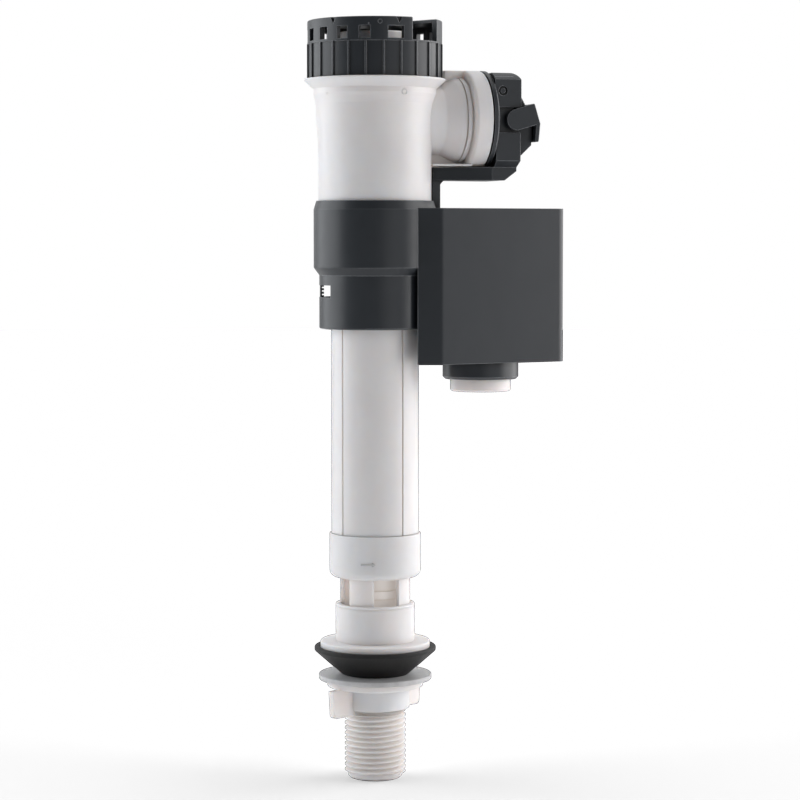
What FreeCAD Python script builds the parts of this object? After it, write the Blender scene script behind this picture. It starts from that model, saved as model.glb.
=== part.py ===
import FreeCAD, Part

import math
import os

from FreeCAD import Vector

# Bottom-inlet, height-adjustable fill valve for a toilet cistern. Millimetres.
# Z is up along the column. The origin is on the column's axis, in the plane where the seal
# meets the cistern floor. +X runs along the side arm, towards the valve head and the cup.

ORIGIN = Vector(0, 0, 0)
X_AXIS = Vector(1, 0, 0)
Y_AXIS = Vector(0, 1, 0)
Z_AXIS = Vector(0, 0, 1)
FULL_TURN = 360

# Clearances
MOVING_GAP = 0.3        # between pieces that move past each other
SEATED_GAP = 0.05       # between pieces that are pushed together
RUNNING_GAP = 0.05      # round a pin in its bearing
OVERRUN = 1.0           # how far a cutting tool runs past the stock

# Inlet thread, G 1/2 right hand, and the shank that carries it
THREAD_R = 20.955 / 2
THREAD_PITCH = 1.814
THREAD_DEPTH = 1.16
THREAD_FLANK_DEG = 27.5
THREAD_ROOT_FLAT = 0.25
THREAD_RUN_OUT = 0.36
THREAD_TOOL_TURNS = 4
THREAD_RELIEF_R = THREAD_R - THREAD_DEPTH - 0.02
SHANK_FOOT_Z = -36.2
THREAD_FOOT_Z = -34.4
THREAD_HEAD_Z = -13.4
UPPER_THREAD_FOOT_Z = -12.9
UPPER_THREAD_HEAD_Z = -0.6
SHANK_NECK_R = 10.4
SHANK_MOUTH_BEVEL = 0.6
INLET_BORE_R = 6.5
INLET_STEP_Z = -9.5
UPPER_BORE_R = 5.5

# Base: tank flange and the cup that the outlet cage stands in
FLANGE_R = 18.9
FLANGE_FOOT_Z = 9.3
FLANGE_HEAD_Z = 11.6
FLANGE_EDGE_R = 0.6
BASE_CUP_R = 13.6
BASE_CUP_HEAD_Z = 24.6
BASE_CUP_FLOOR_Z = 13.4
BASE_CUP_EDGE_R = 0.4
LIP_GROOVE_Z = 23.5
LIP_GROOVE_WIDTH = 0.3
LIP_GROOVE_DEPTH = 0.15
RISER_SEAT_Z = 8.0

# Strainer and flow regulator in the shank
STRAINER_RIM_HEIGHT = 1.2
STRAINER_FOOT_R = 5.0
STRAINER_TIP_R = 4.0
STRAINER_TIP_Z = -17.4
STRAINER_WALL = 0.8
STRAINER_SLOTS = 6
STRAINER_SLOT_DEG = 30
STRAINER_SLOT_MARGIN = 2.0
REGULATOR_FOOT_Z = -15.0
REGULATOR_SHOULDER_Z = -11.0
REGULATOR_TIP_R = 5.4
REGULATOR_ORIFICE_R = 1.6

# Cone seal, slip washer and wing nut
SEAL_FOOT_R = 11.6
SEAL_RIM_R = 20.9
SEAL_SHOULDER_Z = 8.3
SEAL_RIM_Z = 9.6
SEAL_RIM_INNER_R = 19.4
SEAL_EDGE_R = 0.5
WASHER_R = 19.4
WASHER_HEAD_Z = -0.1
WASHER_FOOT_Z = -1.8
WASHER_EDGE_R = 0.3
NUT_BARREL_R = 11.8
NUT_FLANGE_R = 16.55
NUT_HEAD_Z = -1.9
NUT_FLANGE_FOOT_Z = -4.3
NUT_FOOT_Z = -11.7
NUT_EDGE_R = 0.5
WING_TIP_R = 21.1
WING_TIP_LOWER_R = 20.5
WING_HEAD_Z = -4.0
WING_FOOT_Z = -13.35
WING_HALF = 1.1
WING_EDGE_R = 1.3
WING_ANGLE_DEG = 28

# Outlet cage: a pipe on four posts, with the outlet windows between them
CAGE_R = 12.0
CAGE_BORE_R = 10.6
CAGE_HEAD_Z = 114.8
CAGE_BEAD_R = 12.5
CAGE_BEAD_HEIGHT = 5.8
CAGE_BEAD_BEVEL = 0.5
CAGE_WINDOWS = 4
CAGE_WINDOW_DEG = 45
CAGE_WINDOW_START_DEG = 4
CAGE_WINDOW_FOOT_Z = 15.0
CAGE_WINDOW_HEAD_Z = 35.2

# Inlet risers: the lower is fixed in the base, the upper slides over it with the column
LOWER_RISER_R = 7.7
LOWER_RISER_HEAD_Z = 134.8
LOWER_RISER_BEVEL = 0.5
RISER_COLLAR_R = 8.2
RISER_COLLAR_FOOT_Z = 26.7
RISER_COLLAR_HEAD_Z = 29.3
SEAL_GROOVE_R = 6.4
SEAL_GROOVE_Z = 129.7
SEAL_GROOVE_WIDTH = 1.8
O_RING_SECTION_R = 0.76
O_RING_CENTRE_R = SEAL_GROOVE_R + O_RING_SECTION_R + 0.01
UPPER_RISER_R = 9.2
UPPER_RISER_BORE_R = 8.0
UPPER_RISER_FOOT_Z = 59.8
UPPER_RISER_HEAD_Z = 200.0
UPPER_RISER_ROOF = 1.5

# Lock ring and the outer tube that it grips
LOCK_RING_R = 15.7
LOCK_RING_FOOT_Z = 33.9
LOCK_RING_HEAD_Z = 49.0
LOCK_RING_FOOT_EDGE_R = 2.4
LOCK_RING_HEAD_EDGE_R = 0.4
LOCK_RING_LIP_Z = 35.5
LOCK_RING_LIP_R = 12.35
LOCK_RING_BORE_R = 14.3
LOCK_BEAD_Z = 41.8
LOCK_BEAD_HALF = 0.4
LOCK_BEAD_DEPTH = 0.4
LOCK_BEAD_SLOPE = 0.2
TUBE_R = 15.0
TUBE_BORE_R = 12.8
TUBE_SPIGOT_R = 14.0
TUBE_FOOT_Z = 35.9
TUBE_SHOULDER_Z = 49.12
TUBE_FLANGE_FOOT_Z = 146.0
TUBE_HEAD_Z = 150.0
TUBE_FLANGE_R = 17.3
TUBE_GROOVES_DEG = (-153.6, -67.6, 26.4, 112.4)
TUBE_GROOVE_WIDTH = 0.7
TUBE_GROOVE_DEPTH = 0.7
TUBE_GROOVE_HEAD_Z = 140.0

# Valve body
BODY_R = 19.35
BODY_BORE_R = 17.4
BODY_FOOT_Z = 142.8
BODY_FLARE = [(19.35, 178.8), (19.55, 184.0), (20.0, 189.4), (20.3, 195.8), (20.7, 198.0)]
BODY_NECK_R = 21.0
BODY_NECK_Z = 199.2
BODY_FLARE_FOOT_Z = 201.0
BODY_RIM_R = 24.1
BODY_RIM_FOOT_Z = 203.9
BODY_RIM_Z = 204.4
BODY_EDGE_R = 0.4
BODY_LEDGE_R = 15.3
BODY_LEDGE_HEAD_Z = 151.5
SPIGOT_R = 20.6
SPIGOT_HEAD_Z = 210.2
LUG_R = 21.5
LUG_FOOT_Z = 207.2
LUG_HEAD_Z = 208.8
LUG_COUNT = 3
LUG_DEG = 24
LUG_START_DEG = 30

# Side arm and diaphragm housing, turned about the arm's axis
ARM_Z = 190.85
ARM_ROOT_X = 8.0
ARM_NECK_R = 11.9
ARM_CONE_FOOT_X = 22.3
ARM_CONE_HEAD_X = 27.0
ARM_CONE_R = 14.1
ARM_CONE_EDGE_R = 0.4
ARM_RING_X = 28.6
ARM_RING_R = 14.5
ARM_GROOVE_X = 29.1
ARM_GROOVE_R = 13.6
ARM_STEP_X = 30.3
ARM_STEP_R = 14.6
ARM_DIP_X = 30.6
ARM_DIP_R = 14.0
HOUSING_BACK_X = 31.0
HOUSING_R = 17.05
HOUSING_FACE_X = 37.25
HOUSING_EDGE_R = 0.5
HOUSING_BACK_EDGE_R = 1.3
ARM_BORE_R = 10.0
CHAMBER_BACK_X = 31.4
CHAMBER_R = 13.2
CHAMBER_STEP_X = 34.8
CHAMBER_MOUTH_R = 15.0
TOP_LUG_X = 24.5
TOP_LUG_HALF = 2.0
TOP_LUG_HEIGHT = 16.9
SHELF_FOOT_Z = 174.95
SHELF_HEAD_Z = 175.65
SHELF_HALF = 8.0
ARM_WEB_HALF = 1.25

# Nozzle and the plate that carries the upper riser
NOZZLE_R = 7.0
NOZZLE_BORE_R = 5.5
NOZZLE_FACE_X = 30.6
NOZZLE_EDGE_R = 0.6
CROWN_R = 17.3
CROWN_FOOT_Z = 199.0
CROWN_HEAD_Z = 201.0
CROWN_HOLES = 8
CROWN_HOLE_R = 2.2
CROWN_HOLE_CENTRE_R = 13.3

# Diaphragm stack
DIAPHRAGM_R = 14.8
DIAPHRAGM_HOLE_R = 1.2
DIAPHRAGM_CENTRE_R = 8.6
DIAPHRAGM_THICKNESS = 1.2
DIAPHRAGM_BEND = 0.4
DIAPHRAGM_BEAD_X = 34.9
DIAPHRAGM_BEAD_THICKNESS = 1.6
DIAPHRAGM_FLEX_R = 11.6
PLATE_R = 7.8
PLATE_THICKNESS = 1.6
METERING_PIN_R = 0.9
METERING_PIN_TIP_X = 25.6

# Valve cover, its pilot nozzle and the hood that holds the pivot pin
COVER_BACK_X = 37.65
COVER_FACE_X = 39.4
COVER_EDGE = 0.4
COVER_SKIRT_X = 36.6
COVER_SKIRT_R = 14.8
COVER_SKIRT_BORE_R = 12.8
COVER_SEAL_R = 15.7
COVER_SEAL_BORE_R = 15.05
COVER_SEAL_GAP = 0.02
PILOT_R = 2.2
PILOT_TIP_R = 1.4
PILOT_TIP_X = 41.5
PILOT_BORE_R = 0.5
HOOD_HALF = 12.0
HOOD_WALL = 1.2
HOOD_FRONT_X = 48.85
HOOD_FRONT_WALL = 1.4
HOOD_FOOT_Z = 195.0
HOOD_HEAD_Z = 206.9
HOOD_CORNER_R = 3.0
HOOD_LIMIT_R = 18.2
PIVOT_X = 42.2
PIVOT_Z = 200.6
PIVOT_PIN_R = 0.95
PIVOT_PIN_HALF = 11.8
PIVOT_RECESS_R = 1.6
PIVOT_RECESS_DEPTH = 0.8

# Pilot lever
LEVER_BACK_X = 39.8
LEVER_CHEEK_BACK_X = 40.2
LEVER_FRONT_X = 48.6
LEVER_FOOT_HALF = 12.0
LEVER_FOOT_Z = 176.75
LEVER_FOOT_HEAD_Z = 186.4
LEVER_CHEEK_HALF = 10.4
LEVER_STEP_Z = 193.8
LEVER_STEP_X = 46.6
LEVER_HEAD_Z = 204.4
LEVER_HEAD_R = 2.0
LEVER_HOLLOW_HALF = 7.6
LEVER_HOLLOW_FRONT_X = 44.6
LEVER_HOLLOW_FOOT_Z = 180.0
BAR_FOOT_Z = 170.1
BAR_HEAD_Z = 174.6
BAR_END_X = 47.9
BAR_END_Z = 173.3
BAR_BEND_X = 43.6
BAR_HEAD_HALF = 9.8
BAR_TIP_X = 19.65
BAR_TIP_HALF = 4.2
BAR_WIDE_X = 39.0

# Float rod, hanging from the bar into the cup
ROD_BACK_X = 19.65
ROD_FRONT_X = 22.4
ROD_HALF = 3.5
ROD_FOOT_Z = 141.0
ROD_TOE_X = 27.5
ROD_TOE_HEIGHT = 2.6
ROD_TOE_EDGE_R = 0.85
ROD_GUSSET = 1.3

# Seal holder, pilot seal and stirrup clip
HOLDER_R = 2.6
HOLDER_TIP_X = 42.7
PILOT_SEAL_R = 2.2
PILOT_SEAL_GAP = 0.08
NOSE_HALF = 10.5
NOSE_BACK_X = LEVER_FRONT_X + SEATED_GAP
NOSE_TOP_BACK_X = 49.2
NOSE_STEP_Z = 193.6
NOSE_FOOT_X = 49.3
NOSE_PROFILE = [(50.7, 196.1), (51.1, 195.2), (53.2, 189.5, 0.5), (53.0, 182.2, 0.5)]
NOSE_TOP_Z = 198.8
NOSE_FOOT_Z = 178.7
CLIP_X = 46.7
CLIP_Z = 190.75
CLIP_END_R = 3.6
CLIP_SLOPE_DEG = 16.5
CLIP_INNER_Y = 12.3
CLIP_OUTER_Y = 13.8
CLIP_TOP_X = 53.0
CLIP_FRONT_X = 55.1
CLIP_WALL = 1.4
CLIP_EDGE_R = 0.5
CLIP_TOE = (54.5, 183.2)
CLIP_TOE_INNER = (53.3, 183.3)
CLIP_PIN_R = 1.8
CLIP_PIN_Y = 9.3

# Float cup: collar round the body, and the open-topped cup beside it
COLLAR_FOOT_Z = 119.45
COLLAR_LOWER_R = 19.1
COLLAR_LOWER_BORE_R = 17.6
COLLAR_STEP_FOOT_Z = 137.7
COLLAR_STEP_HEAD_Z = 140.3
COLLAR_R = 21.0
COLLAR_BORE_R = 19.75
COLLAR_BORE_Z = 142.0
COLLAR_BEVEL_Z = 160.1
COLLAR_HEAD_Z = 163.05
COLLAR_HEAD_R = 20.1
COLLAR_EDGE_R = 0.5
RIB_R = 15.4
RIB_COUNT = 4
RIB_START_DEG = 45
RIB_DEG = 8
WEB_DEG = 104
LATCH_WINDOW_DEG = 83.4
LATCH_WINDOW_FOOT_Z = 130.2
LATCH_WINDOW_HEAD_Z = 134.3
LATCH_WINDOW_CENTRE_DEG = 159.7
CUP_FOOT_Z = 107.6
CUP_HEAD_Z = 160.5
CUP_WALL = 1.8
CUP_BACK_R = 20.9
CUP_CORNER_X = 9.5
CUP_SHOULDER_X = 17.6
CUP_SHOULDER_Y = 21.1
CUP_SHOULDER_R = 1.5
CUP_END_X = 65.9
CUP_END_HALF = 9.5
CUP_END_R = 3.0
ROD_SLOT_HALF = 4.2
ROD_SLOT_BACK_X = 19.4
ROD_SLOT_FRONT_X = 24.0
ROD_SLOT_FOOT_Z = 139.2

# Toothed latch that stands in the collar's window
LATCH_CENTRE_DEG = 165
LATCH_DEG = 16
LATCH_R = 18.9
LATCH_BORE_R = 17.65
LATCH_TEETH = 3
LATCH_TOOTH_PITCH = 1.2
LATCH_TOOTH_GAP = 0.55
LATCH_TOOTH_DEPTH = 0.7

# Float in the cup
FLOAT_GAP = 1.2
FLOAT_FOOT_Z = 117.4
FLOAT_HEAD_Z = 156.0
FLOAT_SLOT_FOOT_Z = 140.6
FLOAT_SLOT_FRONT_X = 36.0

# Drain valve under the cup
DRAIN_X = 38.3
DRAIN_HOLE_R = 5.5
DRAIN_SEAT_R = 13.1
DRAIN_SEAT_BORE_R = 10.9
DRAIN_SEAT_FOOT_Z = 101.6
DRAIN_SEAT_BEVEL = 0.8
DRAIN_FLOAT_R = 10.5
DRAIN_FLOAT_FOOT_Z = 97.3
DRAIN_FLOAT_HEAD_Z = 102.8
DRAIN_FLOAT_EDGE_R = 0.8
DRAIN_STEM_R = 2.0
DRAIN_CROSS_FOOT_Z = 109.6
DRAIN_CROSS_HEAD_Z = 110.5
DRAIN_CROSS_REACH = 6.2
DRAIN_CROSS_HALF = 1.0
DRAIN_SEAL_R = 9.0
DRAIN_SEAL_THICKNESS = 0.7

# Air vent: cap, insert and membrane
CAP_FOOT_Z = 204.6
CAP_BAND_Z = 216.0
CAP_HEAD_Z = 224.0
CAP_BAND_R = 22.75
CAP_R = 23.0
CAP_BORE_R = 21.0
CAP_ROOF = 1.1
CAP_EDGE_R = 0.5
CAP_RIDGES = 24
CAP_RIDGE_R = 23.25
CAP_RIDGE_DEG = 1.5
CAP_RIDGE_START_DEG = 6.1
CAP_GROOVE_R = 21.9
CAP_GROOVE_FOOT_Z = 206.8
CAP_GROOVE_HEAD_Z = 209.2
CAP_ENTRY_DEG = 28
CAP_TWIST_DEG = 35
VENT_FOOT_Z = 216.8
VENT_HEAD_Z = 220.9
VENT_WIDE_DEG = 14
VENT_WIDE_CENTRE_DEG = -88.25
VENT_DEG = 9.5
VENT_START_DEG = -114.85
VENT_PITCH_DEG = 20
VENT_COUNT = 14
CAP_NOTCH_DEG = -57
CAP_NOTCH_HALF = 6.35
CAP_NOTCH_INNER_X = 10.5
CAP_NOTCH_FOOT_Z = 216.5
CAP_NICKS_DEG = (-143.5, -85.5)
CAP_NICK_HALF = 1.2
CAP_NICK_DEPTH = 2.1
CAP_NICK_INNER_R = 22.2
VENT_DRUM_R = 12.3
VENT_DRUM_BORE_R = 10.8
VENT_DRUM_HEAD_Z = 220.2
VENT_DRUM_ROOF = 1.5
VENT_RIM_R = 17.3
VENT_RIM_FOOT_Z = 201.2
VENT_RIM_HEAD_Z = 203.0
VENT_HOLES = 8
VENT_HOLE_R = 1.6
VENT_HOLE_CENTRE_R = 14.8
MEMBRANE_R = 16.9
MEMBRANE_THICKNESS = 0.8


def in_xz(a, b):
    """Place an outline's point in the plane through the column's axis."""
    return Vector(a, 0, b)


def about_arm(a, b):
    """Place an outline's point by its X and its radius from the arm's axis."""
    return Vector(a, 0, ARM_Z + b)


def in_plan(a, b):
    """Place an outline's point in the horizontal plane."""
    return Vector(a, b, 0)


def rounded_corner(before, here, after, radius):
    """Start, middle and end of the arc that rounds a corner."""
    inward = (before - here).normalize()
    outward = (after - here).normalize()
    half = inward.getAngle(outward) / 2
    reach = radius / math.tan(half)
    bisector = (inward + outward).normalize()
    middle = here + bisector * (radius / math.sin(half) - radius)
    return here + inward * reach, middle, here + outward * reach


def outline(points, place):
    """Closed face through the points. A point's third number rounds that corner."""
    spots = [place(point[0], point[1]) for point in points]
    corners = []
    for index, point in enumerate(points):
        here = spots[index]
        if len(point) == 2:
            corners.append((here, here, here))
        else:
            after = spots[(index + 1) % len(spots)]
            corners.append(rounded_corner(spots[index - 1], here, after, point[2]))
    edges = []
    for index, (start, middle, end) in enumerate(corners):
        previous_end = corners[index - 1][2]
        edges.append(Part.LineSegment(previous_end, start).toShape())
        if not start.isEqual(end, 1e-6):
            edges.append(Part.Arc(start, middle, end).toShape())
    return Part.Face(Part.Wire(edges))


def turned(points):
    """Revolve an outline of radius and height about the column's axis."""
    return outline(points, in_xz).revolve(ORIGIN, Z_AXIS, FULL_TURN)


def turned_on_arm(points):
    """Revolve an outline of X and radius about the arm's axis."""
    return outline(points, about_arm).revolve(Vector(0, 0, ARM_Z), X_AXIS, FULL_TURN)


def cylinder(radius, foot_z, head_z, x=0, y=0):
    return Part.makeCylinder(radius, head_z - foot_z, Vector(x, y, foot_z), Z_AXIS)


def rod_along_x(radius, start_x, end_x):
    return Part.makeCylinder(radius, end_x - start_x, Vector(start_x, 0, ARM_Z), X_AXIS)


def rod_along_y(radius, x, z, start_y, end_y):
    return Part.makeCylinder(radius, end_y - start_y, Vector(x, start_y, z), Y_AXIS)


def sector(inner_r, outer_r, foot_z, head_z, centre_deg, width_deg):
    """Part of a ring about the column, centred on one angle."""
    points = [(inner_r, foot_z), (outer_r, foot_z), (outer_r, head_z), (inner_r, head_z)]
    solid = outline(points, in_xz).revolve(ORIGIN, Z_AXIS, width_deg)
    return solid.rotate(ORIGIN, Z_AXIS, centre_deg - width_deg / 2)


def block(start_x, end_x, half_y, foot_z, head_z):
    corner = Vector(start_x, -half_y, foot_z)
    return Part.makeBox(end_x - start_x, 2 * half_y, head_z - foot_z, corner)


def slab(points, half_y):
    """Extrude a side outline of X and Z to both sides of the middle plane."""
    solid = outline(points, in_xz).extrude(Vector(0, 2 * half_y, 0))
    solid.translate(Vector(0, -half_y, 0))
    return solid


def extruded_plan(points, foot_z, head_z):
    """Extrude a plan outline of X and Y upwards."""
    solid = outline(points, in_plan).extrude(Vector(0, 0, head_z - foot_z))
    solid.translate(Vector(0, 0, foot_z))
    return solid


def fused(shapes):
    return shapes[0].multiFuse(shapes[1:]).removeSplitter()


def evenly(count, start_deg):
    """Angles of equal parts round the column."""
    return [start_deg + FULL_TURN * index / count for index in range(count)]


def turned_about(shape, angle_deg):
    """Copy of a shape, turned about the column's axis."""
    return shape.copy().rotate(ORIGIN, Z_AXIS, angle_deg)


# ---- base ----

def thread_cutter(start_z, head_z):
    """V tool swept along a helix for a few turns of the thread."""
    slope = math.tan(math.radians(THREAD_FLANK_DEG))
    root_r = THREAD_R - THREAD_DEPTH
    root_half = THREAD_ROOT_FLAT / 2
    mouth_half = root_half + (THREAD_DEPTH + MOVING_GAP) * slope
    mouth_r = THREAD_R + MOVING_GAP
    tool = outline([(root_r, start_z - root_half), (mouth_r, start_z - mouth_half),
                    (mouth_r, start_z + mouth_half), (root_r, start_z + root_half)], in_xz)
    helix = Part.makeHelix(THREAD_PITCH, head_z - start_z, THREAD_R)
    helix.translate(Vector(0, 0, start_z))
    return Part.Wire(helix.Edges).makePipeShell([tool.OuterWire], True, True)


def threaded(stock):
    """Cut the thread a few turns at a time, each cut going on from the one before."""
    end_z = UPPER_THREAD_HEAD_Z + THREAD_RUN_OUT
    reach = THREAD_TOOL_TURNS * THREAD_PITCH
    start_z = THREAD_FOOT_Z - OVERRUN
    while start_z < end_z:
        head_z = min(start_z + reach, end_z)
        stock = stock.cut(thread_cutter(start_z, head_z))
        start_z = head_z
    return stock


def threaded_base():
    groove_head_z = LIP_GROOVE_Z + LIP_GROOVE_WIDTH
    groove_r = BASE_CUP_R - LIP_GROOVE_DEPTH
    seat_r = LOWER_RISER_R + SEATED_GAP
    cup_bore_r = CAGE_R + SEATED_GAP
    stock = turned([
        (INLET_BORE_R, SHANK_FOOT_Z),
        (THREAD_RELIEF_R - SHANK_MOUTH_BEVEL, SHANK_FOOT_Z),
        (THREAD_RELIEF_R, SHANK_FOOT_Z + SHANK_MOUTH_BEVEL),
        (THREAD_RELIEF_R, THREAD_FOOT_Z),
        (THREAD_R, THREAD_FOOT_Z),
        (THREAD_R, THREAD_HEAD_Z),
        (THREAD_RELIEF_R, THREAD_HEAD_Z),
        (THREAD_RELIEF_R, UPPER_THREAD_FOOT_Z),
        (THREAD_R, UPPER_THREAD_FOOT_Z),
        (THREAD_R, UPPER_THREAD_HEAD_Z),
        (THREAD_RELIEF_R, UPPER_THREAD_HEAD_Z),
        (THREAD_RELIEF_R, 0),
        (SHANK_NECK_R, 0),
        (SHANK_NECK_R, FLANGE_FOOT_Z),
        (FLANGE_R, FLANGE_FOOT_Z),
        (FLANGE_R, FLANGE_HEAD_Z, FLANGE_EDGE_R),
        (BASE_CUP_R, FLANGE_HEAD_Z),
        (BASE_CUP_R, LIP_GROOVE_Z),
        (groove_r, LIP_GROOVE_Z),
        (groove_r, groove_head_z),
        (BASE_CUP_R, groove_head_z),
        (BASE_CUP_R, BASE_CUP_HEAD_Z, BASE_CUP_EDGE_R),
        (cup_bore_r, BASE_CUP_HEAD_Z),
        (cup_bore_r, BASE_CUP_FLOOR_Z),
        (seat_r, BASE_CUP_FLOOR_Z),
        (seat_r, RISER_SEAT_Z),
        (UPPER_BORE_R, RISER_SEAT_Z),
        (UPPER_BORE_R, INLET_STEP_Z),
        (INLET_BORE_R, INLET_STEP_Z),
    ])
    return threaded(stock)


def inlet_strainer():
    rim_r = INLET_BORE_R - SEATED_GAP
    rim_z = SHANK_FOOT_Z + STRAINER_RIM_HEIGHT
    roof_z = STRAINER_TIP_Z - STRAINER_WALL
    basket = turned([
        (STRAINER_FOOT_R - STRAINER_WALL, SHANK_FOOT_Z),
        (rim_r, SHANK_FOOT_Z),
        (rim_r, rim_z),
        (STRAINER_FOOT_R, rim_z),
        (STRAINER_TIP_R, STRAINER_TIP_Z),
        (0, STRAINER_TIP_Z),
        (0, roof_z),
        (STRAINER_TIP_R - STRAINER_WALL, roof_z),
    ])
    slots = [sector(STRAINER_WALL, INLET_BORE_R, rim_z + STRAINER_SLOT_MARGIN,
                    roof_z - STRAINER_SLOT_MARGIN, angle, STRAINER_SLOT_DEG)
             for angle in evenly(STRAINER_SLOTS, 0)]
    return basket.cut(slots)


def flow_regulator():
    rim_r = INLET_BORE_R - SEATED_GAP
    head_z = INLET_STEP_Z - SEATED_GAP
    return turned([
        (REGULATOR_ORIFICE_R, REGULATOR_FOOT_Z),
        (rim_r, REGULATOR_FOOT_Z),
        (rim_r, REGULATOR_SHOULDER_Z),
        (REGULATOR_TIP_R, head_z),
        (REGULATOR_ORIFICE_R, head_z),
    ])


def seal_cone():
    bore_r = SHANK_NECK_R + SEATED_GAP
    seat_z = FLANGE_FOOT_Z - SEATED_GAP
    return turned([
        (bore_r, 0),
        (SEAL_FOOT_R, 0),
        (SEAL_RIM_R, SEAL_SHOULDER_Z, SEAL_EDGE_R),
        (SEAL_RIM_R, SEAL_RIM_Z, SEAL_EDGE_R),
        (SEAL_RIM_INNER_R, SEAL_RIM_Z),
        (SEAL_RIM_INNER_R - MOVING_GAP, seat_z),
        (bore_r, seat_z),
    ])


def outlet_cage():
    bead_foot_z = CAGE_HEAD_Z - CAGE_BEAD_HEIGHT
    pipe = turned([
        (CAGE_BORE_R, BASE_CUP_FLOOR_Z),
        (CAGE_R, BASE_CUP_FLOOR_Z),
        (CAGE_R, bead_foot_z),
        (CAGE_BEAD_R, bead_foot_z + CAGE_BEAD_BEVEL),
        (CAGE_BEAD_R, CAGE_HEAD_Z - CAGE_BEAD_BEVEL),
        (CAGE_R, CAGE_HEAD_Z),
        (CAGE_BORE_R, CAGE_HEAD_Z),
    ])
    windows = [sector(LOWER_RISER_R, CAGE_R + OVERRUN, CAGE_WINDOW_FOOT_Z,
                      CAGE_WINDOW_HEAD_Z, angle, CAGE_WINDOW_DEG)
               for angle in evenly(CAGE_WINDOWS, CAGE_WINDOW_START_DEG)]
    return pipe.cut(windows)


def lower_riser():
    groove_foot_z = SEAL_GROOVE_Z - SEAL_GROOVE_WIDTH / 2
    groove_head_z = SEAL_GROOVE_Z + SEAL_GROOVE_WIDTH / 2
    return turned([
        (UPPER_BORE_R, RISER_SEAT_Z),
        (LOWER_RISER_R, RISER_SEAT_Z),
        (LOWER_RISER_R, RISER_COLLAR_FOOT_Z),
        (RISER_COLLAR_R, RISER_COLLAR_FOOT_Z),
        (RISER_COLLAR_R, RISER_COLLAR_HEAD_Z),
        (LOWER_RISER_R, RISER_COLLAR_HEAD_Z),
        (LOWER_RISER_R, groove_foot_z),
        (SEAL_GROOVE_R, groove_foot_z),
        (SEAL_GROOVE_R, groove_head_z),
        (LOWER_RISER_R, groove_head_z),
        (LOWER_RISER_R, LOWER_RISER_HEAD_Z - LOWER_RISER_BEVEL),
        (LOWER_RISER_R - LOWER_RISER_BEVEL, LOWER_RISER_HEAD_Z),
        (UPPER_BORE_R, LOWER_RISER_HEAD_Z),
    ])


def riser_o_ring():
    return Part.makeTorus(O_RING_CENTRE_R, O_RING_SECTION_R, Vector(0, 0, SEAL_GROOVE_Z))


# ---- clamp ----

def friction_washer():
    bore_r = THREAD_R + MOVING_GAP
    return turned([
        (bore_r, WASHER_FOOT_Z),
        (WASHER_R, WASHER_FOOT_Z, WASHER_EDGE_R),
        (WASHER_R, WASHER_HEAD_Z, WASHER_EDGE_R),
        (bore_r, WASHER_HEAD_Z),
    ])


def wing_nut():
    bore_r = THREAD_R + MOVING_GAP
    barrel = turned([
        (bore_r, NUT_FOOT_Z),
        (NUT_BARREL_R, NUT_FOOT_Z),
        (NUT_BARREL_R, NUT_FLANGE_FOOT_Z),
        (NUT_FLANGE_R, NUT_FLANGE_FOOT_Z, NUT_EDGE_R),
        (NUT_FLANGE_R, NUT_HEAD_Z, NUT_EDGE_R),
        (bore_r, NUT_HEAD_Z),
    ])
    root_x = (bore_r + NUT_BARREL_R) / 2
    wing = slab([
        (root_x, WING_HEAD_Z),
        (WING_TIP_R, WING_HEAD_Z),
        (WING_TIP_LOWER_R, WING_FOOT_Z, WING_EDGE_R),
        (root_x, WING_FOOT_Z),
    ], WING_HALF)
    wings = [turned_about(wing, angle) for angle in evenly(2, WING_ANGLE_DEG)]
    return fused([barrel] + wings).cut(cylinder(bore_r, WING_FOOT_Z, NUT_HEAD_Z))


# ---- column ----

def lock_ring():
    bead_r = LOCK_RING_BORE_R - LOCK_BEAD_DEPTH
    slope_foot_z = LOCK_BEAD_Z - LOCK_BEAD_HALF - LOCK_BEAD_SLOPE
    slope_head_z = LOCK_BEAD_Z + LOCK_BEAD_HALF + LOCK_BEAD_SLOPE
    return turned([
        (LOCK_RING_LIP_R, LOCK_RING_FOOT_Z),
        (LOCK_RING_R, LOCK_RING_FOOT_Z, LOCK_RING_FOOT_EDGE_R),
        (LOCK_RING_R, LOCK_RING_HEAD_Z, LOCK_RING_HEAD_EDGE_R),
        (LOCK_RING_BORE_R, LOCK_RING_HEAD_Z),
        (LOCK_RING_BORE_R, slope_head_z),
        (bead_r, LOCK_BEAD_Z + LOCK_BEAD_HALF),
        (bead_r, LOCK_BEAD_Z - LOCK_BEAD_HALF),
        (LOCK_RING_BORE_R, slope_foot_z),
        (LOCK_RING_BORE_R, LOCK_RING_LIP_Z),
        (LOCK_RING_LIP_R, LOCK_RING_LIP_Z),
    ])


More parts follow.
